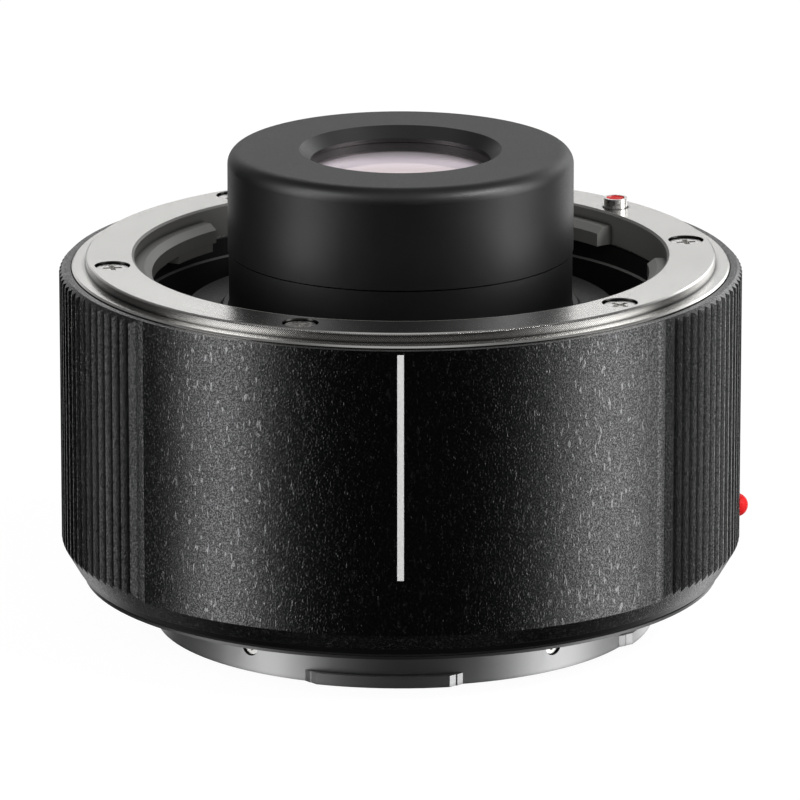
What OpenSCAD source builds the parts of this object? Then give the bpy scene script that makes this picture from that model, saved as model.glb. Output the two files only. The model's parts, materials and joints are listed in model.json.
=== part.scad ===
/* [Body] */
// Diameter across the crests of the grip ribs
body_d = 71.4; // [66:0.1:77]
// Distance between the rear and the front seating faces
flange_distance = 34.25; // [33:0.05:40]
// Wall of the body shell, measured from the rib crests
shell_wall = 2.2; // [1.95:0.05:2.4]
// Depth of the two smooth panels below the rib crests
panel_depth = 0.5; // [0.35:0.05:0.6]
// Half the angle of each smooth panel, out to its first rib
panel_half_angle = 51.4; // [46:0.1:54]
// Ribs on each side of the body
rib_count = 33; // [26:1:36]
// Depth of the grooves between the ribs
rib_depth = 0.33; // [0.2:0.01:0.4]
// Flat left on the crest of each rib
rib_land = 0.14; // [0.08:0.02:0.3]
// Height of the cone at the rear edge of the body
rear_cone_h = 3.85; // [3:0.05:4.5]
// Radial depth of that cone
rear_cone_in = 2.27; // [2:0.01:2.4]
// Chamfer at the front end of the ribs
front_chamfer = 0.5; // [0.3:0.05:0.6]
// Width of the body's shoulder around the front mount ring
front_shoulder = 1.32; // [1.1:0.02:1.5]

/* [Rear mount] */
// Length of the tube behind the rear seating face
bayonet_len = 5.2; // [4.8:0.1:6]
// Wall of the tube
bayonet_wall = 1.5; // [1.3:0.05:1.7]
// How far the lugs stand out of the tube
lug_reach = 0.8; // [0.6:0.05:1]
// Height of the lugs
lug_h = 1.2; // [0.9:0.05:1.5]
// Thickness of the rear flange
rear_flange_t = 2.2; // [2:0.1:2.8]
// Height of the flange's thin outer rim
rear_rim_t = 0.3; // [0.25:0.01:0.4]
// Thickness of the rubber seal above that rim
seal_t = 0.35; // [0.25:0.01:0.45]
// Distance of the rear mount screws from the edge of the rear flange
rear_screw_edge = 2.6; // [2.4:0.1:2.9]
// Length of the threads of all mount screws in the frame
thread_len = 4; // [3:0.1:5]
// Width of the rectangular light window in the rear baffle
window_w = 31; // [28:0.5:32]
// Height of that window
window_h = 23; // [20:0.5:24]

/* [Front mount] */
// Width of the front seating face
face_w = 5.04; // [4.8:0.02:5.4]
// Radial room for the lugs of a lens inside the front opening
lug_gap = 1.26; // [1.1:0.02:1.4]
// Height of the front ring behind its seating face
ring_h = 3.35; // [3.1:0.05:3.8]
// Height of the seating face above the ring's lower step
step_drop = 1; // [0.8:0.05:1.2]
// Width of that lower step
step_w = 1.48; // [1.2:0.02:1.8]
// Depth of the claws' upper faces below the seating face
claw_drop = 1.35; // [1.1:0.05:1.5]
// Radial width of the chamfer along the claws' upper edges
claw_edge_w = 0.79; // [0.5:0.01:1]
// Height of that chamfer
claw_edge_h = 0.6; // [0.4:0.05:0.8]
// Gap between a lens tube and the claws
claw_gap = 0.2; // [0.15:0.05:0.3]
// Distance of the front screws from the outer edge of the seating face
front_screw_edge = 2.45; // [2.3:0.05:2.6]
// Diameter of the screw heads
screw_head_d = 3.3; // [2.8:0.1:3.4]
// Diameter of the screw shanks
screw_shank_d = 1.6; // [1.4:0.1:1.8]
// Thickness of the sheet spring behind the ring
spring_t = 0.3; // [0.2:0.05:0.4]

/* [Nose] */
// Radial distance from the contacts in to the side of the nose
nose_gap = 4.54; // [4.4:0.02:5]
// Height of the nose above the front seating face
nose_h = 11.13; // [10.5:0.1:13]
// Width of the cap's front face, from its side in to the clear mouth
cap_face_w = 8.65; // [7.9:0.05:9.2]
// Width of the cone around the mouth
mouth_cone = 1.16; // [0.8:0.02:1.4]
// Radius of the cap's front edge
cap_edge_r = 1.5; // [1:0.1:2]
// Height of the cap's seam above the front seating face
seam_h = 0.4; // [0.2:0.1:1]
// Depth of the inner cover below the front seating face
cover_depth = 5.95; // [5.8:0.05:6.5]
// Width of the open channel between the inner cover and the frame
channel_w = 4.7; // [4.5:0.05:5]

/* [Lock] */
// Angle of the lock pin around the axis
lock_angle = 40.2; // [38:0.1:42]
// Distance of the lock pin from the outer edge of the seating face
lock_edge = 2.9; // [2.7:0.05:3]
// Diameter of the lock pin
lock_pin_d = 2.5; // [2.2:0.05:2.6]
// Height of the pin above the front seating face
lock_pin_h = 1.07; // [0.8:0.01:1.4]
// Travel of the pin and its thumb slider
lock_travel = 1.6; // [1.3:0.1:1.8]
// Angle of the thumb slider around the axis
button_angle = 51.5; // [51:0.1:53]
// Width of the thumb slider
button_w = 8.8; // [8:0.1:9.4]
// Height of the thumb slider
button_h = 6.4; // [6:0.1:7]
// How far the slider stands above the smooth panel
button_reach = 0.8; // [0.5:0.05:1]

/* [Contacts] */
// Number of contacts at each end
contact_count = 10; // [8:1:10]
// Spacing of the contacts along their arc
contact_pitch = 2.03; // [1.9:0.01:2.1]
// Distance of the contacts from the inner wall of the rear tube
contact_inset = 1.7; // [1.6:0.05:1.8]
// Diameter of a sprung contact's tip
contact_d = 0.8; // [0.6:0.02:0.9]
// Travel of a sprung contact
contact_travel = 0.7; // [0.5:0.05:0.8]
// Depth of the contact block below the front seating face
contact_depth = 4.85; // [4.6:0.05:5]

/* [Optics] */
// How far the front glass reaches behind the cap
glass_lip = 2.59; // [2:0.05:2.8]
// Step from the nose tube in to the rear lens tube
hub_step = 1.36; // [1.2:0.02:1.5]
// Wall of the rear lens tube
hub_wall = 2.6; // [2.2:0.05:2.8]
// Depth of the front glass below the nose's front face
glass_depth = 1.88; // [1.8:0.02:2.4]

/* [Index] */
// Diameter of the index ball
ball_d = 2.5; // [2.2:0.1:2.8]
// How far the ball stands out of the ribs
ball_reach = 0.9; // [0.7:0.05:1]
// Height of the ball above the rear seating face
ball_h = 6.8; // [6:0.1:9]

/* [Hidden] */

$fn = 120;
// Radial clearance between pieces that slip together
fit = 0.1;
// Radial clearance of a sliding fit
running_fit = 0.04;
// Clearance around pieces that move past each other
move_gap = 0.3;
// Overrun of a cut past the face that it opens
over = 0.5;

// Heights along the axis, from the rear end of the bayonet tube
z_rear = bayonet_len;
z_front = z_rear + flange_distance;
z_top = z_front + nose_h;
z_step = z_front - step_drop;
step_edge = 0.17;
shoulder_drop = 0.27;
z_shoulder = z_step - shoulder_drop;
tier_t = 1.35;
z_tier = z_step - tier_t;
z_ring = z_front - ring_h;
z_frame_top = z_ring - spring_t;
z_cover = z_front - cover_depth;
cover_t = 1.2;
cover_lift = 0.35;
barrel_flange_t = 2;
z_barrel_flange = z_cover - cover_t;
z_web = z_barrel_flange - barrel_flange_t;
web_t = 2.5;
z_seam = z_front + seam_h;
z_frame = z_rear + rear_flange_t;
z_lip = z_rear + rear_rim_t + seal_t;
board_lift = 4.6;
z_board = z_frame + board_lift;
board_t = 1;
barrel_recess = 4.4;
z_barrel_end = z_rear + barrel_recess;

// Radii, from the crests of the ribs inwards
crest_r = body_d / 2;
panel_r = crest_r - panel_depth;
shell_in_r = crest_r - shell_wall;
frame_r = shell_in_r - fit;
rear_rim_r = crest_r - rear_cone_in;
rim_w = 1.03;
rear_flange_r = rear_rim_r - rim_w;
rear_screw_r = rear_flange_r - rear_screw_edge;
tier_r = crest_r - front_shoulder;
face_wall_r = tier_r - step_w;
face_chamfer = 0.2;
front_screw_r = face_wall_r - front_screw_edge;
lock_r = face_wall_r - lock_edge;
throat_r = face_wall_r - face_w;
frame_lip = 0.36;
frame_in_r = throat_r - frame_lip;
lug_r = throat_r - lug_gap;
bayonet_r = lug_r - lug_reach;
bayonet_in_r = bayonet_r - bayonet_wall;
relief_gap = 0.4;
relief_r = lug_r + relief_gap;
relief_h = 0.4;
claw_r = bayonet_r + claw_gap;
cover_r = frame_in_r - channel_w;
contact_r = bayonet_in_r - contact_inset;
nose_r = contact_r - nose_gap;
barrel_inset = 0.1;
barrel_r = nose_r - barrel_inset;
cap_wall = 2;
spigot_r = nose_r - cap_wall - fit;
hub_r = barrel_r - hub_step;
mouth_r = nose_r - cap_face_w;
front_lens_r = mouth_r + glass_lip;
rear_lens_r = hub_r - hub_wall;

// Angles of the pieces around the axis, counted from the right of the front view
panel_angles = [-90, 90];
front_screw_angles = [10, 69, 126, 190.5, 250.5, 317.4];
rear_screw_angles = [10, 70, 130, 190, 250, 310];
barrel_screw_angles = [30, 150, 210, 330];
baffle_screw_angles = [52, 128, 232.9, 307.7];
lug_spans = [[67, 97], [157, 187], [251, 281], [335.5, 362]];
lug_ramp = 1.5;
lug_ledge = 0.4;
claw_spans = [[36.5, 100], [139, 194], [229, 284], [313, 366]];
claw_stop_span = [140, 154];
spring_arm_spans = [[52, 94], [160, 188], [235, 278], [319, 360]];
contact_angle = 90;
contact_end_angle = 4;
contact_step = contact_pitch / contact_r * 180 / PI;
contact_half_span = contact_step * (contact_count - 1) / 2 + contact_end_angle;

function polar(r, a) = [r * cos(a), r * sin(a)];
function sag(curve, r) = curve - sqrt(curve * curve - r * r);
function curve(r, rise) = (r * r + rise * rise) / (2 * rise);
function arc_points(c, r, a0, a1, n) = [for (i = [0 : n]) c + polar(r, a0 + (a1 - a0) * i / n)];
function contact_at(i) = contact_angle + (i - (contact_count + 1) / 2) * contact_step;

// A turned piece: a half profile of radius and height pairs, spun about the axis
module turned(points) rotate_extrude() polygon(points);

// A plain ring between two heights
module ring(r_out, r_in, z0, z1) {
    turned([[r_in, z0], [r_out, z0], [r_out, z1], [r_in, z1]]);
}

// A prism that covers a span of angles about the axis
module wedge(a0, a1, r, z0, z1) {
    parts = ceil((a1 - a0) / 20);
    reach = r / cos((a1 - a0) / parts / 2);
    rim = [for (i = [0 : parts]) polar(reach, a0 + (a1 - a0) * i / parts)];
    translate([0, 0, z0]) linear_extrude(z1 - z0) polygon(concat([[0, 0]], rim));
}

// Part of a ring between two angles
module arc_ring(r_out, r_in, a0, a1, z0, z1) {
    intersection() {
        ring(r_out, r_in, z0, z1);
        wedge(a0, a1, r_out + over, z0 - over, z1 + over);
    }
}

// Children placed on a circle about the axis at each of the angles
module at_angles(angles, r) {
    for (a = angles) rotate(a) translate([r, 0, 0]) children();
}

// A straight round hole or shaft between two heights
module rod(r, z0, z1) translate([0, 0, z0]) cylinder(r = r, h = z1 - z0);

// A pan head screw with a cross recess, its head facing up from head_z
module screw(head_d, shank_d, head_z, head_t, length) {
    slot_w = head_d * 0.16;
    slot_l = head_d * 0.6;
    slot_depth = head_t * 0.6;
    difference() {
        union() {
            rod(head_d / 2, head_z, head_z + head_t);
            rod(shank_d / 2, head_z - length, head_z);
        }
        for (turn = [0, 90]) rotate(turn)
            translate([-slot_l / 2, -slot_w / 2, head_z + head_t - slot_depth])
                cube([slot_l, slot_w, slot_depth + over]);
    }
}

// One lens element: edge radius, then the height and curve of its front and rear vertex.
// A curve above zero bulges outwards and one below zero is hollow.
lens_fn = 360;

module lens(r, front_z, front_curve, rear_z, rear_curve) {
    front_edge = front_curve > 0 ? front_z : front_z + sag(-front_curve, r);
    rear_edge = rear_curve > 0 ? rear_z : rear_z - sag(-rear_curve, r);
    difference() {
        intersection() {
            rod(r, rear_edge, front_edge);
            if (front_curve > 0) translate([0, 0, front_z - front_curve]) sphere(front_curve, $fn = lens_fn);
            if (rear_curve > 0) translate([0, 0, rear_z + rear_curve]) sphere(rear_curve, $fn = lens_fn);
        }
        if (front_curve < 0) translate([0, 0, front_z - front_curve]) sphere(-front_curve, $fn = lens_fn);
        if (rear_curve < 0) translate([0, 0, rear_z + rear_curve]) sphere(-rear_curve, $fn = lens_fn);
    }
}

// Body shell: a turned sleeve with a cone at the rear, ribbed grips and two smooth panels
rib_step = (180 - 2 * panel_half_angle) / rib_count;
cone_slope = rear_cone_in / rear_cone_h;
cone_angle = atan(cone_slope);
cone_edge_r = 0.8;
band_h = 0.65;
band_inset = 0.06;
z_cone_top = z_rear + rear_cone_h;

function cone_r(z) = rear_rim_r + (z - z_rear) * cone_slope;

module shell_blank() {
    edge_start = cone_edge_r * tan(cone_angle / 2);
    edge_centre = [crest_r - cone_edge_r, z_cone_top + edge_start];
    turned(concat(
        [
            [rear_flange_r + fit, z_lip],
            [cone_r(z_lip) - band_inset, z_lip],
            [cone_r(z_lip + band_h) - band_inset, z_lip + band_h],
            [cone_r(z_lip + band_h), z_lip + band_h]
        ],
        arc_points(edge_centre, cone_edge_r, -cone_angle, 0, 4),
        [
            [crest_r, z_shoulder - front_chamfer],
            [crest_r - front_chamfer, z_shoulder],
            [tier_r + fit, z_shoulder],
            [tier_r + fit, z_tier],
            [shell_in_r, z_tier],
            [shell_in_r, z_frame],
            [rear_flange_r + fit, z_frame]
        ]
    ));
}

// Prism around the body whose toothed sides leave the V grooves between the ribs
module rib_prism() {
    half_w = crest_r * tan(rib_step / 2);
    valley_r = crest_r - rib_depth;
    apex_r = valley_r + rib_depth * half_w / (half_w - rib_land / 2);
    far_r = crest_r * 2;
    far_a = panel_half_angle * 0.6;
    side = [
        for (i = [0 : 2 * rib_count])
            polar(i % 2 == 0 ? apex_r : valley_r, panel_half_angle - 90 + i * rib_step / 2)
    ];
    half = concat(side, [for (a = [-far_a, 0, far_a]) polar(far_r, 90 + a)]);
    translate([0, 0, z_lip - over]) linear_extrude(z_front - z_lip)
        polygon(concat(half, [for (p = half) -p]));
}

// Cut for one smooth panel, with a soft two-step rise to the first rib on each side
module panel_cut() {
    soft_r = panel_r + panel_depth * 0.32;
    crest_a = panel_half_angle - 0.2;
    soft_a = panel_half_angle - 1.5;
    flat_a = panel_half_angle - 3;
    far_r = crest_r * 1.3;
    soft = polar(soft_r, soft_a);
    inner = soft + (polar(panel_r, flat_a) - soft) * 2;
    outer = soft + (polar(crest_r, crest_a) - soft) * 3;
    half = [inner, soft, outer, polar(far_r, panel_half_angle * 0.6)];
    other = [for (i = [len(half) - 1 : -1 : 0]) [half[i][0], -half[i][1]]];
    difference() {
        translate([0, 0, z_lip]) linear_extrude(z_front - z_lip) polygon(concat(half, other));
        rod(panel_r, z_lip - over, z_front + over);
    }
}

module body_shell() color([0.09, 0.09, 0.09]) {
    difference() {
        intersection() {
            shell_blank();
            rib_prism();
        }
        for (a = panel_angles) rotate(a) panel_cut();
        translate([0, 0, z_rear + ball_h]) rotate([0, 90, 0])
            rod(ball_d / 2 + running_fit, ball_r - ball_d / 2 - running_fit, crest_r + over);
        button_recess();
    }
}

// Index ball, seated in a drilled hole among the ribs
ball_r = crest_r + ball_reach - ball_d / 2;

module index_ball() color([0.9, 0.05, 0.08]) {
    translate([ball_r, 0, z_rear + ball_h]) sphere(ball_d / 2);
}

// Front mount ring with its stepped edge and four claws
head_room = 0.4;
head_recess_d = screw_head_d + head_room;
head_t = 0.8;
head_sink = 0.25;
claw_t = ring_h - claw_drop;
claw_stop_h = 0.9;
lock_hole_gap = 0.15;
lock_hole_r = lock_pin_d / 2 + lock_hole_gap;
claw_fall = 0.02;

module claw_blank() {
    claw_z = z_ring + claw_t;
    turned([
        [claw_r, z_ring],
        [throat_r + over, z_ring],
        [throat_r + over, claw_z + claw_fall],
        [claw_r + claw_edge_w, claw_z],
        [claw_r, claw_z - claw_edge_h]
    ]);
}

module front_mount_ring() color([0.78, 0.78, 0.76]) {
    head_seat = z_front - head_sink - head_t;
    difference() {
        union() {
            turned([
                [throat_r, z_ring],
                [shell_in_r - 2 * fit, z_ring],
                [shell_in_r - 2 * fit, z_tier],
                [tier_r, z_tier],
                [tier_r, z_step - step_edge],
                [tier_r - step_edge, z_step],
                [face_wall_r, z_step],
                [face_wall_r, z_front - face_chamfer],
                [face_wall_r - face_chamfer, z_front],
                [throat_r + face_chamfer, z_front],
                [throat_r, z_front - face_chamfer]
            ]);
            for (span = claw_spans) intersection() {
                claw_blank();
                wedge(span[0], span[1], throat_r + 2 * over, z_ring - over, z_front);
            }
            arc_ring(frame_in_r - fit, claw_r + fit, claw_stop_span[0], claw_stop_span[1],
                z_ring - claw_stop_h, z_ring + claw_t / 2);
        }
        at_angles(front_screw_angles, front_screw_r) {
            rod(head_recess_d / 2, head_seat, z_front + over);
            rod(screw_shank_d / 2 + fit, z_ring - over, z_front);
        }
        rotate(lock_angle) translate([lock_r, 0, 0])
            rod(lock_hole_r, z_ring - over, z_front + over);
    }
}

module front_mount_screws() color([0.72, 0.72, 0.7]) {
    head_seat = z_front - head_sink - head_t;
    at_angles(front_screw_angles, front_screw_r)
        screw(screw_head_d, screw_shank_d, head_seat, head_t, head_seat - z_frame_top + thread_len);
}

// Sheet spring between the ring and the frame, with an arm under each claw
spring_edge = 1;
spring_lap = 1;
spring_gap = 0.4;
arm_gap = 0.3;

module bayonet_spring() color([0.5, 0.5, 0.48]) {
    difference() {
        union() {
            ring(frame_r - spring_edge, throat_r + spring_gap, z_frame_top, z_ring);
            for (span = spring_arm_spans)
                arc_ring(throat_r + spring_lap, claw_r + arm_gap, span[0], span[1], z_frame_top, z_ring);
        }
        at_angles(front_screw_angles, front_screw_r)
            rod(screw_shank_d / 2 + fit, z_frame_top - over, z_ring + over);
        rotate(lock_angle) translate([lock_r, 0, 0])
            rod(lock_hole_r, z_frame_top - over, z_ring + over);
    }
}

// Lock: a pin through the front ring, carried with the thumb slider on one lever
lever_t = 1.2;
lever_rim = 0.35;
lever_hub_r = lock_pin_d / 2 + lever_rim;
guide_len = 2.7;
stem_r = 0.6;
lock_spring_len = 5.9;
z_pocket_top = z_frame_top - guide_len;
lever_drop = 0.5;
z_lever_top = z_pocket_top - lever_drop;
z_lever = z_lever_top - lever_t;
z_pocket = z_lever - lock_spring_len;
stem_tail = 2.8;
z_stem = z_pocket - stem_tail;
pocket_in_r = lock_r - lever_hub_r - move_gap;
lock_at = polar(lock_r, lock_angle - button_angle);
tongue_half = 1.6;
tongue_lap = 0.6;
tongue_from = lock_r + tongue_lap;
button_sink = 0.6;
button_in_r = panel_r - button_sink;
button_corner = 1.4;
recess_corner = 1.6;
tongue_spread = 4;
button_out_r = panel_r + button_reach;
recess_r = button_in_r - move_gap;
z_button = (z_lever + z_lever_top) / 2;
mark_r = lock_pin_d * 0.39;
mark_depth = 0.3;

module lock_pin() color([0.75, 0.75, 0.73]) {
    z_pin = z_front + lock_pin_h;
    rotate(lock_angle) translate([lock_r, 0, 0]) difference() {
        union() {
            rod(lock_pin_d / 2, z_lever_top, z_pin);
            rod(stem_r, z_stem, z_lever_top);
        }
        rod(mark_r, z_pin - mark_depth, z_pin + over);
    }
}

module lock_pin_mark() color([0.85, 0.06, 0.08]) {
    z_pin = z_front + lock_pin_h;
    rotate(lock_angle) translate([lock_r, 0, 0])
        rod(mark_r, z_pin - mark_depth, z_pin - mark_depth / 3);
}

// Lever: a flat hub under the pin, an arm, and a tongue through the body to the slider
module release_lever() color([0.45, 0.45, 0.44]) {
    arm_to = [tongue_from + tongue_half, 0];
    arm = arm_to - lock_at;
    rotate(button_angle) translate([0, 0, z_lever]) difference() {
        union() {
            translate(lock_at) cylinder(r = lever_hub_r, h = lever_t);
            translate(lock_at) rotate(atan2(arm[1], arm[0])) translate([0, -lever_hub_r * 0.8, 0])
                cube([norm(arm), lever_hub_r * 1.6, lever_t]);
            translate([tongue_from, -tongue_half, 0])
                cube([button_in_r * cos(tongue_spread) - tongue_from, tongue_half * 2, lever_t]);
        }
        translate(lock_at) translate([0, 0, -over]) cylinder(r = stem_r, h = lever_t + 2 * over);
    }
}

// Thumb slider: a curved pad with rounded corners and grip ridges, seated on the tongue
module pad_outline(w, h, corner) {
    for (x = [-1, 1]) for (z = [-1, 1])
        translate([0, x * (w / 2 - corner), z * (h / 2 - corner)]) rotate([0, 90, 0])
            cylinder(r = corner, h = 3 * over + panel_r);
    translate([0, -w / 2, -h / 2 + corner]) cube([3 * over + panel_r, w, h - 2 * corner]);
    translate([0, -w / 2 + corner, -h / 2]) cube([3 * over + panel_r, w - 2 * corner, h]);
}

module release_button() color([0.1, 0.1, 0.1]) {
    ridge_h = 0.35;
    ridge_w = 0.5;
    ridge_count = 5;
    ridge_step = (button_h - 2 * button_corner) / (ridge_count - 1);
    ridge_z = z_button - button_h / 2 + button_corner;
    rotate(button_angle) difference() {
        intersection() {
            union() {
                ring(button_out_r - ridge_h, button_in_r, z_button - button_h, z_button + button_h);
                for (i = [0 : ridge_count - 1]) let (z = ridge_z + i * ridge_step)
                    ring(button_out_r, button_in_r + over, z - ridge_w / 2, z + ridge_w / 2);
            }
            translate([0, 0, z_button]) pad_outline(button_w, button_h, button_corner);
        }
        translate([0, -tongue_half, z_lever])
            cube([button_in_r * cos(tongue_spread), tongue_half * 2, lever_t]);
    }
}

// Recess for the slider in the body, and the slot that its tongue moves in
module button_recess() {
    travel_h = button_h + lock_travel + 2 * move_gap;
    travel_z = z_button - lock_travel / 2;
    slot_top = z_lever_top + move_gap;
    slot_bottom = z_lever - lock_travel - move_gap;
    rotate(button_angle) {
        difference() {
            translate([0, 0, travel_z]) pad_outline(button_w + 2 * move_gap, travel_h, recess_corner);
            rod(recess_r, z_lip, z_front);
        }
        translate([tongue_from, -tongue_half - move_gap, slot_bottom])
            cube([crest_r + over - tongue_from, 2 * (tongue_half + move_gap), slot_top - slot_bottom]);
    }
}

// Return spring of the lock: one coil of round wire between the frame and the lever
coil_wire = 0.35;
coil_r = 0.95;
coil_turns = 6;
coil_steps = 12;
coil_sides = 6;
coil_count = coil_turns * coil_steps;
coil_rise = (lock_spring_len - coil_wire) / coil_count;

function coil_point(i) = let (p = polar(coil_r, i * 360 / coil_steps)) [p[0], p[1], i * coil_rise];
function coil_ring(i) = let (a = i * 360 / coil_steps) [
    for (s = [0 : coil_sides - 1]) let (w = polar(coil_wire / 2, s * 360 / coil_sides))
        coil_point(i) + [w[0] * cos(a), w[0] * sin(a), w[1]]
];
coil_gap = min([for (i = [0 : coil_count - coil_steps]) norm(coil_point(i + coil_steps) - coil_point(i))])
    - coil_wire;
echo(least_gap_of_lock_spring = coil_gap);

module lock_spring() color([0.6, 0.6, 0.6]) {
    points = [for (i = [0 : coil_count]) each coil_ring(i)];
    side_faces = [
        for (i = [0 : coil_count - 1]) for (s = [0 : coil_sides - 1])
            let (a = i * coil_sides + s, b = i * coil_sides + (s + 1) % coil_sides)
                each [[a, a + coil_sides, b], [b, a + coil_sides, b + coil_sides]]
    ];
    last = coil_count * coil_sides;
    end_faces = [for (s = [1 : coil_sides - 2]) each [[0, s, s + 1], [last, last + s + 1, last + s]]];
    rotate(lock_angle) translate([lock_r, 0, z_pocket + coil_wire / 2])
        polyhedron(points, concat(side_faces, end_faces));
}

// Inner frame: a waisted tube with a web that carries the lens barrel
web_bore_r = hub_r + fit;
ledge_w = 1.1;
ledge_h = 1.2;
waist_in = 1.8;
foot_h = 2.6;
pocket_floor = 1;
bore_step_w = 0.28;
bore_step_h = 0.13;
z_bore_step = z_cover + cover_lift;
thread_r = screw_shank_d / 2;
thread_spare = 0.6;
cable_slot_half = 8;
pocket_end_angle = 0.5;

module inner_frame() color([0.16, 0.16, 0.16]) {
    pocket_a0 = lock_angle - asin((lever_hub_r + move_gap) / lock_r) - pocket_end_angle;
    pocket_a1 = button_angle + asin((tongue_half + move_gap) / lock_r) + pocket_end_angle;
    difference() {
        turned([
            [frame_in_r, z_frame],
            [frame_r, z_frame],
            [frame_r, z_frame + foot_h],
            [frame_r - waist_in, z_frame + foot_h + waist_in],
            [frame_r - waist_in, z_pocket - pocket_floor - waist_in],
            [frame_r, z_pocket - pocket_floor],
            [frame_r, z_frame_top],
            [frame_in_r + bore_step_w, z_frame_top],
            [frame_in_r + bore_step_w, z_bore_step],
            [frame_in_r, z_bore_step - bore_step_h],
            [frame_in_r, z_web],
            [web_bore_r, z_web],
            [web_bore_r, z_web - web_t],
            [frame_in_r, z_web - web_t],
            [frame_in_r, z_board],
            [frame_in_r - ledge_w, z_board],
            [frame_in_r - ledge_w, z_board - ledge_h],
            [frame_in_r, z_board - ledge_h]
        ]);
        at_angles(front_screw_angles, front_screw_r)
            rod(thread_r, z_frame_top - thread_len - thread_spare, z_frame_top + over);
        at_angles(rear_screw_angles, rear_screw_r)
            rod(thread_r, z_frame - over, z_frame + thread_len + thread_spare);
        at_angles(barrel_screw_angles, barrel_screw_r)
            rod(barrel_shank_d / 2, z_web - web_t - over, z_web + over);
        arc_ring(frame_r + over, pocket_in_r, pocket_a0, pocket_a1, z_pocket, z_pocket_top);
        rotate(lock_angle) translate([lock_r, 0, 0]) {
            rod(lock_pin_d / 2 + running_fit, z_pocket, z_frame_top + over);
            rod(stem_r + running_fit, z_stem - lock_travel - move_gap, z_pocket + over);
        }
        arc_ring(cable_r + cable_t + move_gap, cable_r - move_gap, contact_angle - cable_slot_half,
            contact_angle + cable_slot_half, z_web - web_t - over, z_web + over);
    }
}

// Cover plate around the foot of the nose, cut away for the contact block
collar_w = 0.5;
collar_h = 0.45;
cover_chamfer = 0.3;
block_in = 1.7;
block_out = 1.6;
block_in_r = contact_r - block_in;
block_out_r = contact_r + block_out;
block_slack_angle = 0.4;

module inner_cover() color([0.06, 0.06, 0.06]) {
    difference() {
        turned([
            [barrel_r + fit, z_barrel_flange],
            [cover_r, z_barrel_flange],
            [cover_r, z_cover - cover_chamfer],
            [cover_r - cover_chamfer, z_cover],
            [barrel_r + fit + collar_w + collar_h, z_cover],
            [barrel_r + fit + collar_w, z_cover + collar_h],
            [barrel_r + fit, z_cover + collar_h]
        ]);
        arc_ring(cover_r + over, block_in_r - fit, contact_angle - contact_half_span - block_slack_angle,
            contact_angle + contact_half_span + block_slack_angle, z_barrel_flange - over, z_cover + over);
    }
}

// Lens barrel: nose tube, foot flange and rear lens tube in one turned piece
barrel_flange_r = block_in_r - 2 * fit;
barrel_screw_r = (barrel_r + barrel_flange_r) / 2;
barrel_head_d = 2;
barrel_shank_d = 1.2;
front_bore_r = front_lens_r + fit / 2;
rear_bore_r = rear_lens_r + fit / 2;
seat_w = 1.4;
seat_r = front_lens_r - seat_w;
cap_t = 1.68;
z_spigot = z_top - cap_t;
barrel_head_t = 0.9;
barrel_head_sink = 1;
seat_t = 2.6;

module front_barrel() color([0.08, 0.08, 0.08]) {
    difference() {
        turned([
            [rear_bore_r, z_barrel_end],
            [hub_r, z_barrel_end],
            [hub_r, z_web],
            [barrel_flange_r, z_web],
            [barrel_flange_r, z_barrel_flange],
            [barrel_r, z_barrel_flange],
            [barrel_r, z_seam],
            [spigot_r, z_seam],
            [spigot_r, z_spigot],
            [front_bore_r, z_spigot],
            [front_bore_r, z_seat],
            [seat_r, z_seat],
            [seat_r, z_seat - seat_t],
            [rear_bore_r, z_seat - seat_t]
        ]);
        at_angles(barrel_screw_angles, barrel_screw_r) {
            rod(barrel_head_d / 2 + fit, z_barrel_flange - barrel_head_sink, z_barrel_flange + over);
            rod(barrel_shank_d / 2 + fit, z_web - over, z_barrel_flange);
        }
    }
}

module barrel_screws() color([0.5, 0.5, 0.5]) {
    at_angles(barrel_screw_angles, barrel_screw_r)
        screw(barrel_head_d, barrel_shank_d, z_barrel_flange - barrel_head_sink, barrel_head_t,
            barrel_flange_t - barrel_head_sink + web_t);
}

// Nose cap: round front edge, a cone around the mouth and a thin seam under it
seam_gap = 0.15;

module barrel_cap() color([0.1, 0.1, 0.1]) {
    z_cap = z_seam + seam_gap;
    difference() {
        union() {
            rod(nose_r, z_cap, z_top - cap_edge_r);
            rod(nose_r - cap_edge_r, z_cap, z_top);
            translate([0, 0, z_top - cap_edge_r]) rotate_extrude()
                translate([nose_r - cap_edge_r, 0]) circle(cap_edge_r);
        }
        rod(spigot_r + fit, z_cap - over, z_spigot + fit);
        rod(mouth_r, z_spigot - over, z_top + over);
        turned([
            [0, z_top - mouth_cone],
            [mouth_r, z_top - mouth_cone],
            [mouth_r + mouth_cone, z_top],
            [mouth_r + mouth_cone, z_top + over],
            [0, z_top + over]
        ]);
    }
}

// Lenses from front to rear: thicknesses, gaps and the rise of each curved face at its edge
l1_t = 3.8;
l2_t = 1.4;
front_air = 2.1;
l3_t = 3.8;
l4_t = 1.2;
l5_t = 1.6;
l6_t = 6.5;
l7_t = 1.6;
l8_t = 4.3;
rise_1 = 1.04;
rise_12 = 1.94;
rise_2 = 0.91;
rise_3 = 1.63;
rise_34 = 1.21;
rise_4 = 0.8;
rise_5f = 2.53;
rise_5r = 2.29;
rise_6 = 2.83;
rise_67 = 3.02;
rise_7 = 0.82;
rise_8f = 1.66;
rise_8r = 0.89;
curve_1 = curve(front_lens_r, rise_1);
curve_12 = curve(front_lens_r, rise_12);
curve_2 = curve(front_lens_r, rise_2);
curve_3 = curve(front_lens_r, rise_3);
curve_34 = curve(front_lens_r, rise_34);
curve_4 = curve(front_lens_r, rise_4);
curve_5f = curve(rear_lens_r, rise_5f);
curve_5r = curve(rear_lens_r, rise_5r);
curve_6 = curve(rear_lens_r, rise_6);
curve_67 = curve(rear_lens_r, rise_67);
curve_7 = curve(rear_lens_r, rise_7);
curve_8f = curve(rear_lens_r, rise_8f);
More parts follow.
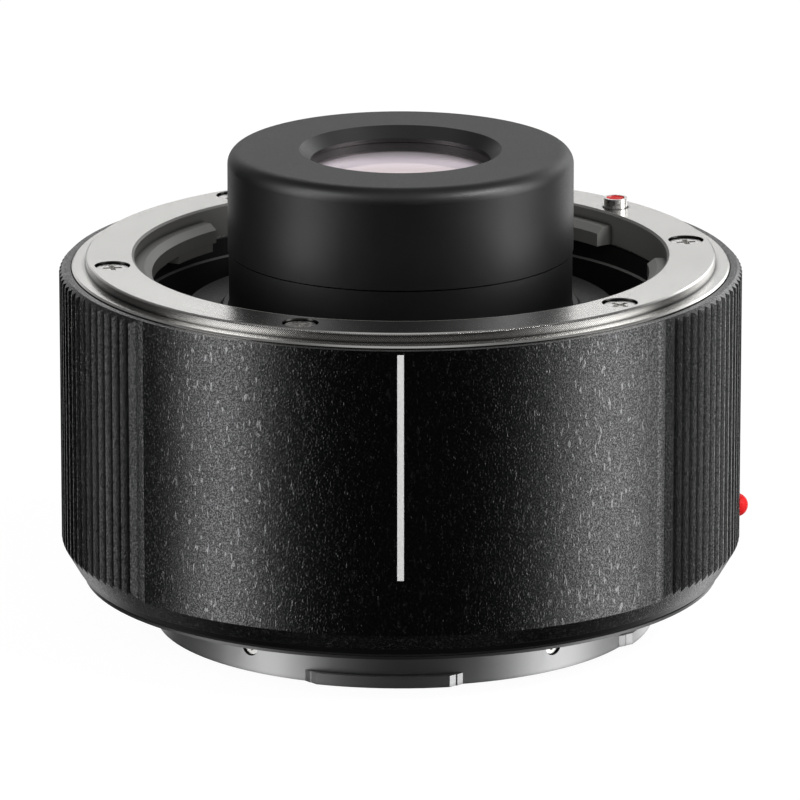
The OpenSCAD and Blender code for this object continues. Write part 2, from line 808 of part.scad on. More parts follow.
curve_8r = curve(rear_lens_r, rise_8r);
mid_air = 2.87;
spacer_w = 1.4;
spacer_in_f = front_lens_r - spacer_w;
spacer_in_r = rear_lens_r - spacer_w;
end_air = 2;
glass_ring_gap = 0.2;
rear_ring_recess = 0.5;

z_l1 = z_top - glass_depth;
z_l12 = z_l1 - l1_t;
z_l2 = z_l12 - l2_t;
z_l3 = z_l2 - front_air;
z_l34 = z_l3 - l3_t;
z_l4 = z_l34 - l4_t;
z_seat = z_l4 + sag(curve_4, seat_r);
z_l5 = z_seat - seat_t - sag(curve_5f, rear_lens_r);
z_l5r = z_l5 - l5_t;
z_l6 = z_l5r - mid_air;
z_l67 = z_l6 - l6_t;
z_l7 = z_l67 - l7_t;
z_l8r = z_barrel_end + end_air;
z_l8 = z_l8r + l8_t;

glass = [0.6, 0.65, 0.8, 0.5];

module lens_1() color(glass) lens(front_lens_r, z_l1, curve_1, z_l12, curve_12);
module lens_2() color(glass) lens(front_lens_r, z_l12, -curve_12, z_l2, -curve_2);
module lens_3() color(glass) lens(front_lens_r, z_l3, curve_3, z_l34, curve_34);
module lens_4() color(glass) lens(front_lens_r, z_l34, -curve_34, z_l4, curve_4);
module lens_5() color(glass) lens(rear_lens_r, z_l5, -curve_5f, z_l5r, -curve_5r);
module lens_6() color(glass) lens(rear_lens_r, z_l6, curve_6, z_l67, curve_67);
module lens_7() color(glass) lens(rear_lens_r, z_l67, -curve_67, z_l7, -curve_7);
module lens_8() color(glass) lens(rear_lens_r, z_l8, curve_8f, z_l8r, curve_8r);

// Rings that hold the lenses at their edges
module front_retaining_ring() color([0.05, 0.05, 0.05]) {
    ring_in_r = mouth_r + glass_ring_gap;
    ring(front_lens_r, ring_in_r, z_l1 - sag(curve_1, ring_in_r), z_spigot);
}

module spacer_front() color([0.07, 0.07, 0.07]) {
    ring(front_lens_r, spacer_in_f, z_l3 - sag(curve_3, spacer_in_f), z_l2 - sag(curve_2, front_lens_r));
}

module spacer_mid() color([0.07, 0.07, 0.07]) {
    ring(rear_lens_r, spacer_in_r, z_l6 - sag(curve_6, spacer_in_r), z_l5r - sag(curve_5r, rear_lens_r));
}

module spacer_rear() color([0.07, 0.07, 0.07]) {
    ring(rear_lens_r, spacer_in_r, z_l8 - sag(curve_8f, spacer_in_r), z_l7 - sag(curve_7, rear_lens_r));
}

module rear_retaining_ring() color([0.05, 0.05, 0.05]) {
    ring(rear_lens_r, spacer_in_r, z_barrel_end + rear_ring_recess, z_l8r + sag(curve_8r, spacer_in_r));
}

// Front contacts: a block on the web with sprung pins that stand out of it
z_block = z_front - contact_depth;
pin_collar = 0.3;
pin_collar_r = contact_d / 2 + pin_collar;
pin_collar_t = 0.7;
pin_roof = 0.8;
pin_reach = 0.75;

module front_contact_block() color([0.05, 0.05, 0.05]) {
    difference() {
        arc_ring(block_out_r, block_in_r, contact_angle - contact_half_span,
            contact_angle + contact_half_span, z_web, z_block);
        for (i = [1 : contact_count]) rotate(contact_at(i)) translate([contact_r, 0, 0]) {
            rod(contact_d / 2 + running_fit, z_web, z_block + over);
            rod(pin_collar_r + running_fit, z_web - over, z_block - pin_roof);
        }
    }
}

module contact_pin(i) color([0.85, 0.68, 0.3]) {
    z_collar = z_block - pin_roof - running_fit;
    tip_r = contact_d / 2;
    z_tip = z_block + pin_reach - tip_r;
    rotate(contact_at(i)) translate([contact_r, 0, 0]) {
        rod(tip_r, z_collar - pin_collar_t, z_tip);
        rod(pin_collar_r, z_collar - pin_collar_t, z_collar);
        translate([0, 0, z_tip]) sphere(tip_r);
    }
}

// Circuit board on the frame's ledge, its chip, and flat cables to both contact blocks
board_in_r = hub_r + 4 * fit;
chip_w = 6;
chip_t = 1.1;
chip_angle = 225;
cable_offset = 0.4;
cable_r = contact_r + cable_offset;
cable_t = 0.25;
cable_half = 5;

module circuit_board() color([0.05, 0.3, 0.12]) {
    ring(frame_in_r - 2 * fit, board_in_r, z_board, z_board + board_t);
}

module controller_chip() color([0.04, 0.04, 0.04]) {
    rotate(chip_angle) translate([(board_in_r + frame_in_r) / 2, 0, z_board + board_t])
        translate([-chip_w / 2, -chip_w / 2, 0]) cube([chip_w, chip_w, chip_t]);
}

module front_flex_cable() color([0.75, 0.5, 0.15]) {
    arc_ring(cable_r + cable_t, cable_r, contact_angle - cable_half, contact_angle + cable_half,
        z_board + board_t, z_web);
}

module rear_flex_cable() color([0.75, 0.5, 0.15]) {
    arc_ring(cable_r + cable_t, cable_r, contact_angle - cable_half, contact_angle + cable_half,
        z_rear_block_top, z_board);
}

// Rear contacts: flat pads on a block inside the bayonet tube
pad_t = 0.4;
pad_r = 0.75;
rear_contact_recess = 0.5;
z_rear_block = rear_contact_recess + pad_t;
rear_block_top = 0.8;
z_rear_block_top = z_rear + rear_block_top;

module rear_contact_block() color([0.05, 0.05, 0.05]) {
    arc_ring(bayonet_in_r - fit, block_in_r, contact_angle - contact_half_span,
        contact_angle + contact_half_span, z_rear_block, z_rear_block_top);
}

module rear_contacts() color([0.85, 0.68, 0.3]) {
    for (i = [1 : contact_count]) rotate(contact_at(i)) translate([contact_r, 0, 0])
        rod(pad_r, rear_contact_recess, z_rear_block);
}

// Rear mount: flange with a thin rim, bayonet tube and four lugs
rear_head_t = 0.8;
rear_head_sink = 0.15;
baffle_screw_z = 2.7;
baffle_head_r = 0.9;
baffle_shank_r = 0.5;
baffle_head_seat = 0.9;
baffle_head_t = 0.6;
baffle_thread = 1.2;

// Half outline of a lug's end: rise as a share of the lug's reach, and the angle past its end
lug_end = [
    [-0.25, 2.5 * lug_ramp + lug_ledge],
    [0.5, lug_ramp + lug_ledge],
    [0.5, lug_ramp],
    [1.25, -0.5 * lug_ramp]
];
function lug_corner(e, a, side) = polar(bayonet_r + e[0] * lug_reach, a + side * e[1]);

// One lug of the rear bayonet; its ends fall to the tube in two ramps with a ledge between them
module lug(a0, a1) {
    top = bayonet_r + lug_end[3][0] * lug_reach;
    rim_parts = 4;
    rim = [for (i = [1 : rim_parts - 1]) polar(top, a0 + (a1 - a0) * i / rim_parts)];
    outline = concat(
        [[0, 0]],
        [for (i = [0 : 3]) lug_corner(lug_end[i], a0, -1)],
        rim,
        [for (i = [3 : -1 : 0]) lug_corner(lug_end[i], a1, 1)]
    );
    intersection() {
        ring(lug_r, bayonet_r - bayonet_wall / 2, 0, lug_h);
        translate([0, 0, -over]) linear_extrude(lug_h + 2 * over) polygon(outline);
    }
}

module rear_mount() color([0.7, 0.7, 0.69]) {
    difference() {
        union() {
            turned([
                [bayonet_in_r, 0],
                [bayonet_r, 0],
                [bayonet_r, z_rear + relief_h],
                [relief_r, z_rear + relief_h],
                [relief_r, z_rear],
                [rear_rim_r, z_rear],
                [rear_rim_r, z_rear + rear_rim_t],
                [rear_flange_r, z_rear + rear_rim_t],
                [rear_flange_r, z_frame],
                [bayonet_in_r, z_frame]
            ]);
            for (span = lug_spans) lug(span[0], span[1]);
        }
        at_angles(rear_screw_angles, rear_screw_r) {
            rod(head_recess_d / 2, z_rear - over, z_rear + rear_head_sink + rear_head_t);
            rod(screw_shank_d / 2 + fit, z_rear, z_frame + over);
        }
        rotate(lock_angle) translate([lock_r, 0, 0]) rod(lock_hole_r, z_rear - over, z_frame + over);
        for (a = baffle_screw_angles) rotate(a) translate([0, 0, baffle_screw_z]) rotate([0, 90, 0]) {
            rod(baffle_head_r + fit, bayonet_r - baffle_head_seat, bayonet_r + over);
            rod(baffle_shank_r + fit, bayonet_in_r - over, bayonet_r);
        }
    }
}

module rear_mount_screws() color([0.72, 0.72, 0.7]) {
    head_seat = z_rear + rear_head_sink + rear_head_t;
    at_angles(rear_screw_angles, rear_screw_r) mirror([0, 0, 1])
        screw(screw_head_d, screw_shank_d, -head_seat, rear_head_t, z_frame - head_seat + thread_len);
}

// Rubber seal between the flange's rim and the body
module rear_seal() color([0.02, 0.02, 0.02]) {
    ring(rear_rim_r - fit, rear_flange_r + fit, z_rear + rear_rim_t, z_lip);
}

// Rear baffle: a shallow cup with a rectangular window, screwed to the tube from outside
baffle_z = 1.4;
baffle_t = 1.2;
baffle_rim_h = 3.2;
baffle_rim_w = 1.6;
window_corner = 3;

module window_cut() {
    w = window_w;
    h = window_h;
    for (x = [-1, 1]) for (y = [-1, 1])
        translate([x * (w / 2 - window_corner), y * (h / 2 - window_corner), 0])
            rod(window_corner, baffle_z - over, baffle_z + baffle_t + over);
    translate([-w / 2, -h / 2 + window_corner, baffle_z - over])
        cube([w, h - 2 * window_corner, baffle_t + 2 * over]);
    translate([-w / 2 + window_corner, -h / 2, baffle_z - over])
        cube([w - 2 * window_corner, h, baffle_t + 2 * over]);
}

module rear_baffle() color([0.04, 0.04, 0.04]) {
    baffle_r = bayonet_in_r - fit;
    difference() {
        union() {
            rod(baffle_r, baffle_z, baffle_z + baffle_t);
            ring(baffle_r, baffle_r - baffle_rim_w, baffle_z, baffle_z + baffle_rim_h);
        }
        window_cut();
        arc_ring(baffle_r + over, block_in_r - fit, contact_angle - contact_half_span - block_slack_angle,
            contact_angle + contact_half_span + block_slack_angle, baffle_z - over,
            baffle_z + baffle_rim_h + over);
        for (a = baffle_screw_angles) rotate(a) translate([0, 0, baffle_screw_z]) rotate([0, 90, 0])
            rod(baffle_shank_r, baffle_r - baffle_rim_w - over, baffle_r + over);
    }
}

module rear_baffle_screws() color([0.6, 0.6, 0.6]) {
    head_from = bayonet_r - baffle_head_seat;
    for (a = baffle_screw_angles) rotate(a) translate([0, 0, baffle_screw_z]) rotate([0, 90, 0])
        screw(2 * baffle_head_r, 2 * baffle_shank_r, head_from, baffle_head_t,
            head_from - bayonet_in_r + baffle_thread);
}

body_shell();
index_ball();
front_mount_ring();
front_mount_screws();
bayonet_spring();
lock_pin();
lock_pin_mark();
release_lever();
release_button();
lock_spring();
inner_frame();
inner_cover();
front_barrel();
barrel_cap();
front_retaining_ring();
lens_1();
lens_2();
lens_3();
lens_4();
lens_5();
lens_6();
lens_7();
lens_8();
spacer_front();
spacer_mid();
spacer_rear();
rear_retaining_ring();
barrel_screws();
front_contact_block();
for (i = [1 : contact_count]) contact_pin(i);
circuit_board();
controller_chip();
front_flex_cable();
rear_flex_cable();
rear_contact_block();
rear_contacts();
rear_mount();
rear_mount_screws();
rear_seal();
rear_baffle();
rear_baffle_screws();
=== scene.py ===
import json
import math
import bpy
import bmesh
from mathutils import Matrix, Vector


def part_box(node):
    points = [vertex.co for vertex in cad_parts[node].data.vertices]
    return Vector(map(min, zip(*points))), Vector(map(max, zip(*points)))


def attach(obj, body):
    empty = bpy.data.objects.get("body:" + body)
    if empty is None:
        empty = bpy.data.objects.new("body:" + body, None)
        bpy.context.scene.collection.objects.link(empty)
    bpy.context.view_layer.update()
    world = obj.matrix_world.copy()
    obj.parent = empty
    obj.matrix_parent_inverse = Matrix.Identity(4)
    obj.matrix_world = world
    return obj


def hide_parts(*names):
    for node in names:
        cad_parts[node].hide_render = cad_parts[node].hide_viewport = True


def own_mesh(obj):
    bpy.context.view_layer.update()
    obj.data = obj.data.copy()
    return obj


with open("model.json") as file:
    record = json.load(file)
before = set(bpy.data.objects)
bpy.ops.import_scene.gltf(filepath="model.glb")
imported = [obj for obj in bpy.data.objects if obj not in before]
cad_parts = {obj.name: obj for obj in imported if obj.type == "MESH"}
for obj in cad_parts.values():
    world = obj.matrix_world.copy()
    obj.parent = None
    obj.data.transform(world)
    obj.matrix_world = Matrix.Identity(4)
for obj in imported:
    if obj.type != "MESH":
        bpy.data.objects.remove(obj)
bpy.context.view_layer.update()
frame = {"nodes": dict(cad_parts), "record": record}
cad = frame["nodes"]
scene = bpy.context.scene
mm = 0.001
black = (0, 0, 0, 1)
white = (1, 1, 1, 1)
print("frame loaded:", len(cad), "nodes")


class Wire:
    # one socket, so that shader maths reads as maths
    def __init__(self, graph, socket):
        self.graph = graph
        self.socket = socket

    # another output of the same node
    def sibling(self, name):
        return Wire(self.graph, self.socket.node.outputs[name])

    def __add__(self, other):
        return self.graph.calc("ADD", self, other)

    def __radd__(self, other):
        return self.graph.calc("ADD", other, self)

    def __sub__(self, other):
        return self.graph.calc("SUBTRACT", self, other)

    def __rsub__(self, other):
        return self.graph.calc("SUBTRACT", other, self)

    def __mul__(self, other):
        return self.graph.calc("MULTIPLY", self, other)

    def __rmul__(self, other):
        return self.graph.calc("MULTIPLY", other, self)

    def __truediv__(self, other):
        return self.graph.calc("DIVIDE", self, other)

    def __rtruediv__(self, other):
        return self.graph.calc("DIVIDE", other, self)

    def __pow__(self, other):
        return self.graph.calc("POWER", self, other)

    def __rpow__(self, other):
        return self.graph.calc("POWER", other, self)


class Graph:
    # the node tree of one material or world
    def __init__(self, owner):
        owner.use_nodes = True
        self.tree = owner.node_tree
        self.tree.nodes.clear()

    def make(self, kind, settings=None, sockets=None, out=0):
        node = self.tree.nodes.new("ShaderNode" + kind)
        for name, value in (settings or {}).items():
            setattr(node, name, value)
        for name, value in (sockets or {}).items():
            if isinstance(value, Wire):
                self.tree.links.new(value.socket, node.inputs[name])
            else:
                node.inputs[name].default_value = value
        return Wire(self, node.outputs[out]) if node.outputs else node

    def calc(self, operation, *values):
        return self.make("Math", {"operation": operation}, dict(enumerate(values)))

    def vector(self, operation, *values, out=0):
        return self.make("VectorMath", {"operation": operation}, dict(enumerate(values)), out)

    def place(self):
        return self.make("TexCoord", out="Object")

    # x, y and z of a vector
    def split(self, vector):
        x = self.make("SeparateXYZ", None, {0: vector}, out="X")
        return x, x.sibling("Y"), x.sibling("Z")

    def stretch(self, vector, x, y, z):
        return self.vector("MULTIPLY", vector, (x, y, z))

    def noise(self, vector, size, detail=2.0, rough=0.5):
        sockets = {"Vector": vector, "Scale": 1 / size, "Detail": detail, "Roughness": rough}
        return self.make("TexNoise", None, sockets)

    def ramp(self, value, low, high, toLow=0.0, toHigh=1.0):
        sockets = {0: value, 1: low, 2: high, 3: toLow, 4: toHigh}
        return self.make("MapRange", {"interpolation_type": "SMOOTHSTEP"}, sockets)

    def blend(self, share, first, second):
        settings = {"data_type": "RGBA", "blend_type": "MIX"}
        return self.make("Mix", settings, {0: share, 6: first, 7: second}, out=2)

    def bump(self, height, depth):
        return self.make("Bump", None, {"Height": height, "Distance": depth, "Strength": 1.0})

    # how open the surface is within reach, for painted shade in corners
    def openness(self, reach):
        return self.make("AmbientOcclusion", {"samples": 8}, {"Distance": reach}, out="AO")

    # distance from the optical axis, for turned marks
    def axisDistance(self):
        return self.vector("LENGTH", self.stretch(self.place(), 1, 1, 0), out="Value")

    def surface(self, shader):
        self.make("OutputMaterial", None, {"Surface": shader})

    def principled(self, **sockets):
        named = {words(name): value for name, value in sockets.items()}
        return self.make("BsdfPrincipled", None, named)


socketNames = {"iorLevel": "Specular IOR Level"}


def words(name):
    # baseColor becomes Base Color
    if name in socketNames:
        return socketNames[name]
    spaced = "".join(" " + letter if letter.isupper() else letter for letter in name)
    return spaced[0].upper() + spaced[1:]


def newFinish(name):
    material = bpy.data.materials.new(name)
    return material, Graph(material)


def rgba(colour, share=1):
    return (*(share * c for c in colour), 1)


def mottledRoughness(g, grain, middle, mottle):
    below, above = mottle["spread"]
    return g.ramp(grain, *mottle["range"], middle + below, middle + above)


# body coat: fine pebbled enamel with the shine of dark metal, which changes from pebble to pebble;
# sparse upright flecks stand out of it on the panels, the ribbed grips are duller, with painted
# shade darkening their grooves, and the band at the rear edge is smooth
bodyCoat = {
    "dull": (0.038, 0.038, 0.038),
    "bright": (0.130, 0.130, 0.132),
    "fleckShine": (0.215, 0.215, 0.218),
    "pebble": 0.15 * mm,
    "pebbleRange": (0.32, 0.68),
    "knob": 0.17 * mm,
    "knobStretch": 0.8,
    "knobRange": (0.54, 0.74),
    "fleck": 0.34 * mm,
    "fleckStretch": 0.36,
    "fleckRange": (0.635, 0.70),
    "fleckFade": 0.1,
    "depth": 0.03 * mm,
    "relief": {"pebble": 0.5, "knob": 0.35, "fleck": 0.12},
    "roughness": (0.17, 0.27),
    "roughRange": (0.3, 0.7),
    "panelEdge": 0.655,
    "panelSoft": 0.008,
    "gripShine": 0.58,
    # painted shade in the grip grooves: how far to look for closed-in surface, where it starts,
    # how dark it gets
    "grooveShadeReach": 0.9 * mm,
    "grooveShadeRange": (0.84, 0.99),
    "grooveShadeFloor": 0.08,
    "foot": 0.65 * mm,
    "footSoft": 0.03 * mm,
    "footShine": (0.05, 0.05, 0.051),
    "footRoughness": 0.3,
}


def makeBodyCoat():
    look = bodyCoat
    material, g = newFinish("bodyCoat")
    p = g.place()
    y, z = g.split(p)[1:]
    pebble = g.noise(p, look["pebble"], 1.0, 0.4)
    knob = g.noise(g.stretch(p, 1, 1, look["knobStretch"]), look["knob"], 0.0)
    knob = g.ramp(knob, *look["knobRange"])
    # 1 in the middle of a panel, 0 in the middle of a grip
    front = g.calc("ABSOLUTE", y) / g.axisDistance()
    edge, soft = look["panelEdge"], look["panelSoft"]
    panel = g.ramp(front, edge - soft, edge + soft, look["gripShine"], 1.0)
    fleck = g.noise(g.stretch(p, 1, 1, look["fleckStretch"]), look["fleck"], 1.0)
    fleck = g.ramp(fleck, *look["fleckRange"]) * g.ramp(front, edge, edge + look["fleckFade"])
    shine = g.ramp(pebble, *look["pebbleRange"])
    shine = g.blend(shine, rgba(look["dull"]), rgba(look["bright"]))
    shine = g.blend(fleck, shine, rgba(look["fleckShine"]))
    # painted shade: the coat is darkened towards black where the grooves between the ribs close in
    grooveShade = g.openness(look["grooveShadeReach"])
    grooveShade = g.ramp(grooveShade, *look["grooveShadeRange"], look["grooveShadeFloor"], 1.0)
    shine = g.blend(panel * grooveShade, black, shine)
    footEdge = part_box("body_shell")[0][2] + look["foot"]
    grained = g.ramp(z, footEdge - look["footSoft"], footEdge + look["footSoft"])
    low, high = look["roughness"]
    rough = g.ramp(pebble, *look["roughRange"], high, low)
    relief = look["relief"]
    height = pebble * relief["pebble"] + knob * relief["knob"] + fleck * relief["fleck"]
    shader = g.principled(
        baseColor=g.blend(grained, rgba(look["footShine"]), shine),
        metallic=1.0,
        roughness=rough * grained + look["footRoughness"] * (1 - grained),
        normal=g.bump(height * grained, look["depth"]),
    )
    g.surface(shader)
    return material


# satin blacks: the nose is an anodised alloy, the rest is lacquer, moulded plastic and rubber
nosePaint = {
    "colour": (0.055, 0.055, 0.056),
    "grain": 0.1 * mm,
    "depth": 0.003 * mm,
    "roughness": 0.42,
    "metal": 1.0,
    "edge": 0.85,
}
innerPaint = {
    "colour": (0.012, 0.012, 0.012),
    "grain": 0.1 * mm,
    "depth": 0.003 * mm,
    "roughness": 0.5,
    # painted highlight: a bright band along the step in the frame's bore
    "ledge": {
        "height": 33.78 * mm,
        "radius": 27.64 * mm,
        "reach": 0.17 * mm,
        "colour": (0.22, 0.22, 0.215),
    },
}
mouldedPlastic = {
    "colour": (0.0032, 0.0032, 0.0033),
    "grain": 0.2 * mm,
    "depth": 0.003 * mm,
    "roughness": 0.5,
}
sealFoam = {
    "colour": (0.006, 0.006, 0.006),
    "grain": 0.1 * mm,
    "depth": 0.003 * mm,
    "roughness": 0.7,
}
satinMottle = {"cloud": 60, "dark": 0.8, "range": (0.25, 0.75), "spread": (-0.05, 0.08)}
satinGloss = 0.38


def makeSatinBlack(name, look):
    material, g = newFinish(name)
    p = g.place()
    grain = g.noise(p, look["grain"], 2)
    cloud = g.noise(p, look["grain"] * satinMottle["cloud"], 2)
    edge = look.get("edge", 1.0)
    dark = rgba(look["colour"], satinMottle["dark"])
    colour = g.blend(cloud, dark, rgba(look["colour"]))
    if "ledge" in look:  # painted highlight: the step in the frame's bore is painted bright
        ledge = look["ledge"]
        z = g.split(p)[2]
        level = g.calc("COMPARE", z, ledge["height"], ledge["reach"] / 2)
        ring = g.calc("COMPARE", g.axisDistance(), ledge["radius"], ledge["reach"])
        colour = g.blend(level * ring, colour, rgba(ledge["colour"]))
    shader = g.principled(
        baseColor=colour,
        metallic=look.get("metal", 0.0),
        roughness=mottledRoughness(g, grain, look["roughness"], satinMottle),
        specularTint=(edge, edge, edge, 1),
        iorLevel=satinGloss,
        normal=g.bump(grain, look["depth"]),
    )
    g.surface(shader)
    return material


# turned metal: concentric tool marks too fine to see one by one, and painted shade in closed-in
# corners; the front ring is dull in its throat, with painted shade on its hatched step and in its
# screw recesses, and the rear ring's outer rim is painted darker as shade
frontSteel = {
    "colour": (0.74, 0.73, 0.708),
    "line": 0.035 * mm,
    "depth": 0.003 * mm,
    "roughness": (0.14, 0.2),
    "throat": {
        "radius": 28.12 * mm,
        "fade": (-0.05 * mm, 0.02 * mm),
        "colour": (0.25, 0.248, 0.235),
        "roughness": 0.35,
        "metalLoss": 0.85,
    },
    # the hatch is real relief, and also painted shade: the step wall is darkened and striped with
    # its teeth
    "hatch": {
        "radius": 32.9 * mm,
        "reach": 0.08 * mm,
        "count": 900,
        "depth": 0.003 * mm,
        "dark": 0.5,
        "swing": 0.2,
    },
    # painted shade in the six screw recesses around the front ring
    "pits": {
        "angles": (10, 69, 126, 190.5, 250.5, 317.4),
        "circle": 30.45 * mm,
        "radius": 1.87 * mm,
        "dark": 0.93,
    },
}
rearSteel = {
    "colour": (0.48, 0.48, 0.485),
    "line": 0.05 * mm,
    "depth": 0.002 * mm,
    "roughness": (0.35, 0.43),
    "speckle": {"size": 0.12 * mm, "depth": 0.004 * mm},
    # painted shade: the flange's outer rim is darkened
    "rim": {"radius": 27.4 * mm, "share": 0.3},
}
turnedMottle = {"haze": 6 * mm, "hazeShare": 0.4, "dark": 0.86, "range": (0.4, 1.0)}
# painted shade: the dark colour laid into closed-in corners, on the hatched step, in the screw
# recesses and on the rear rim
turnedCornerShade = {
    "reach": 0.9 * mm,
    "range": (0.4, 0.85),
    "floor": 0.12,
    "colour": (0.01, 0.01, 0.01),
}


def makeTurned(name, look):
    material, g = newFinish(name)
    p = g.place()
    x, y, z = g.split(p)
    r = g.axisDistance()
    sockets = {"W": (r + z) / look["line"], "Scale": 1.0, "Detail": 2.0}
    lines = g.make("TexNoise", {"noise_dimensions": "1D"}, sockets)
    haze = g.noise(p, turnedMottle["haze"], 3) * turnedMottle["hazeShare"]
    # painted shade: darker where the surface is closed in
    paintedShade = g.openness(turnedCornerShade["reach"])
    paintedShade = g.ramp(paintedShade, *turnedCornerShade["range"], turnedCornerShade["floor"], 1.0)
    rough = g.ramp(lines + haze, *turnedMottle["range"], *look["roughness"])
    dark = rgba(look["colour"], turnedMottle["dark"])
    share = lines * (1 - turnedMottle["hazeShare"]) + haze
    colour = g.blend(share, dark, rgba(look["colour"]))
    height = lines * look["depth"]
    metal = 1.0
    if "throat" in look:
        throat = look["throat"]
        low, high = (throat["radius"] + fade for fade in throat["fade"])
        inside = g.ramp(r, low, high, 1.0, 0.0)
        rough = rough + inside * throat["roughness"]
        metal = 1 - inside * throat["metalLoss"]
        colour = g.blend(inside, colour, rgba(throat["colour"]))
    if "speckle" in look:
        height = height + g.noise(p, look["speckle"]["size"], 1) * look["speckle"]["depth"]
    # painted shade on the outer rim of the rear flange
    if "rim" in look:
        rim = g.calc("GREATER_THAN", r, look["rim"]["radius"])
        paintedShade = paintedShade * (1 - rim * (1 - look["rim"]["share"]))
    if "hatch" in look:
        hatch = look["hatch"]
        angle = g.calc("ARCTAN2", y, x)
        teeth = g.calc("SINE", (angle + z / hatch["radius"]) * hatch["count"])
        nearWall = g.calc("COMPARE", r, hatch["radius"], hatch["reach"])
        height = height + teeth * nearWall * hatch["depth"]
        # painted shade on the hatched step wall, lighter and darker with the teeth
        paintedShade = paintedShade * (1 - nearWall * (teeth * hatch["swing"] + hatch["dark"]))
    if "pits" in look:
        pits = look["pits"]
        flat = g.stretch(p, 1, 1, 0)
        nearest = 1.0
        for degrees in pits["angles"]:
            a = math.radians(degrees)
            spot = (pits["circle"] * math.cos(a), pits["circle"] * math.sin(a), 0)
            gap = g.vector("DISTANCE", flat, spot, out="Value")
            nearest = g.calc("MINIMUM", nearest, gap)
        # painted shade: darker within each screw recess
        paintedShade = paintedShade * (1 - pits["dark"] * g.calc("LESS_THAN", nearest, pits["radius"]))
    shader = g.principled(
        # the painted shade mask blends the metal towards the dark shade colour
        baseColor=g.blend(paintedShade, rgba(turnedCornerShade["colour"]), colour),
        metallic=metal,
        roughness=rough,
        normal=g.bump(height, 1.0),  # the height is in metres already
    )
    g.surface(shader)
    return material


# small metal parts
plainSteel = {
    "colour": (0.80, 0.79, 0.77),
    "grain": 0.3 * mm,
    "depth": 0.003 * mm,
    "roughness": 0.3,
}
springSteel = dict(plainSteel, colour=(0.42, 0.42, 0.41))
goldPlate = dict(plainSteel, colour=(0.85, 0.62, 0.24), roughness=0.22)
metalMottle = {"dark": 0.75, "range": (0.3, 0.7), "spread": (-0.06, 0.1)}


def makeMetal(name, look):
    material, g = newFinish(name)
    grain = g.noise(g.place(), look["grain"], 3)
    dark = rgba(look["colour"], metalMottle["dark"])
    shader = g.principled(
        baseColor=g.blend(grain, dark, rgba(look["colour"])),
        metallic=1.0,
        roughness=mottledRoughness(g, grain, look["roughness"], metalMottle),
        normal=g.bump(grain, look["depth"]),
    )
    g.surface(shader)
    return material


# paints, the board's mask and the cables' film
redPaint = {
    "colour": (0.80, 0.010, 0.012),
    "grain": 0.5 * mm,
    "depth": 0.004 * mm,
    "roughness": 0.45,
    "gloss": 0.14,
}
whitePaint = {
    "colour": (0.62, 0.62, 0.615),
    "grain": 0.18 * mm,
    "depth": 0.004 * mm,
    "roughness": 0.5,
}
boardMask = {
    "colour": (0.02, 0.13, 0.05),
    "grain": 1.2 * mm,
    "depth": 0.01 * mm,
    "roughness": 0.35,
}
amberFilm = {
    "colour": (0.55, 0.27, 0.05),
    "grain": 0.8 * mm,
    "depth": 0.006 * mm,
    "roughness": 0.3,
}
paintMottle = {"dark": 0.82, "range": (0.3, 0.7), "spread": (-0.05, 0.08)}


def makePaint(name, look):
    material, g = newFinish(name)
    grain = g.noise(g.place(), look["grain"], 3)
    dark = rgba(look["colour"], paintMottle["dark"])
    shader = g.principled(
        baseColor=g.blend(grain, dark, rgba(look["colour"])),
        roughness=mottledRoughness(g, grain, look["roughness"], paintMottle),
        iorLevel=look.get("gloss", 0.5),
        normal=g.bump(grain, look["depth"]),
    )
    g.surface(shader)
    return material


# coated glass: the front face mirrors a warm tone, the cemented face under it a lavender one
frontGlass = {
    "clear": (0.9, 0.88, 0.92),
    "warm": (1.0, 0.85, 0.81),
    "cool": (0.97, 0.88, 0.95),
    "bowl": 26 * mm,
    "bowlBlur": 0.34,
    "frontBlur": 0.02,
    "frontShare": 0.36,
    "bowlShare": 0.92,
}


def makeGlass():
    look = frontGlass
    material, g = newFinish("coatedGlass")
    slope = g.stretch(g.place(), -1 / look["bowl"], -1 / look["bowl"], 0)
    hollow = g.vector("NORMALIZE", g.vector("ADD", slope, (0, 0, 1)))
    clear = g.make("BsdfTransparent", None, {"Color": rgba(look["clear"])})
    sockets = {"Color": rgba(look["cool"]), "Roughness": look["bowlBlur"], "Normal": hollow}
    under = g.make("BsdfGlossy", None, sockets)
    sockets = {"Color": rgba(look["warm"]), "Roughness": look["frontBlur"]}
    front = g.make("BsdfGlossy", None, sockets)
    deep = g.make("MixShader", None, {0: look["bowlShare"], 1: clear, 2: under})
    g.surface(g.make("MixShader", None, {0: look["frontShare"], 1: deep, 2: front}))
    return material


finishes = {
    "grain_black": makeBodyCoat(),
    "black_alloy": makeSatinBlack("innerBlack", innerPaint),
    "barrel_black": makeSatinBlack("noseBlack", nosePaint),
    "front_metal": makeTurned("frontSteel", frontSteel),
    "rear_metal": makeTurned("rearSteel", rearSteel),
    "screw_metal": makeMetal("screwSteel", plainSteel),
    "spring_steel": makeMetal("springSteel", springSteel),
    "black_plastic": makeSatinBlack("mouldedBlack", mouldedPlastic),
    "board_green": makePaint("boardMask", boardMask),
    "cable_amber": makePaint("amberFilm", amberFilm),
    "gold_contact": makeMetal("goldPlate", goldPlate),
    "red": makePaint("redPaint", redPaint),
    "seal_rubber": makeSatinBlack("sealRubber", sealFoam),
    "coated_glass": makeGlass(),
}
for part in frame["record"]["subparts"]:
    piece = cad[part["node"]]
    piece.data.materials.clear()
    piece.data.materials.append(finishes[part["material_slot"]])
    for polygon in piece.data.polygons:
        polygon.use_smooth = True  # the edges are split in the meshes, so they stay sharp
print("finishes made:", len(finishes))


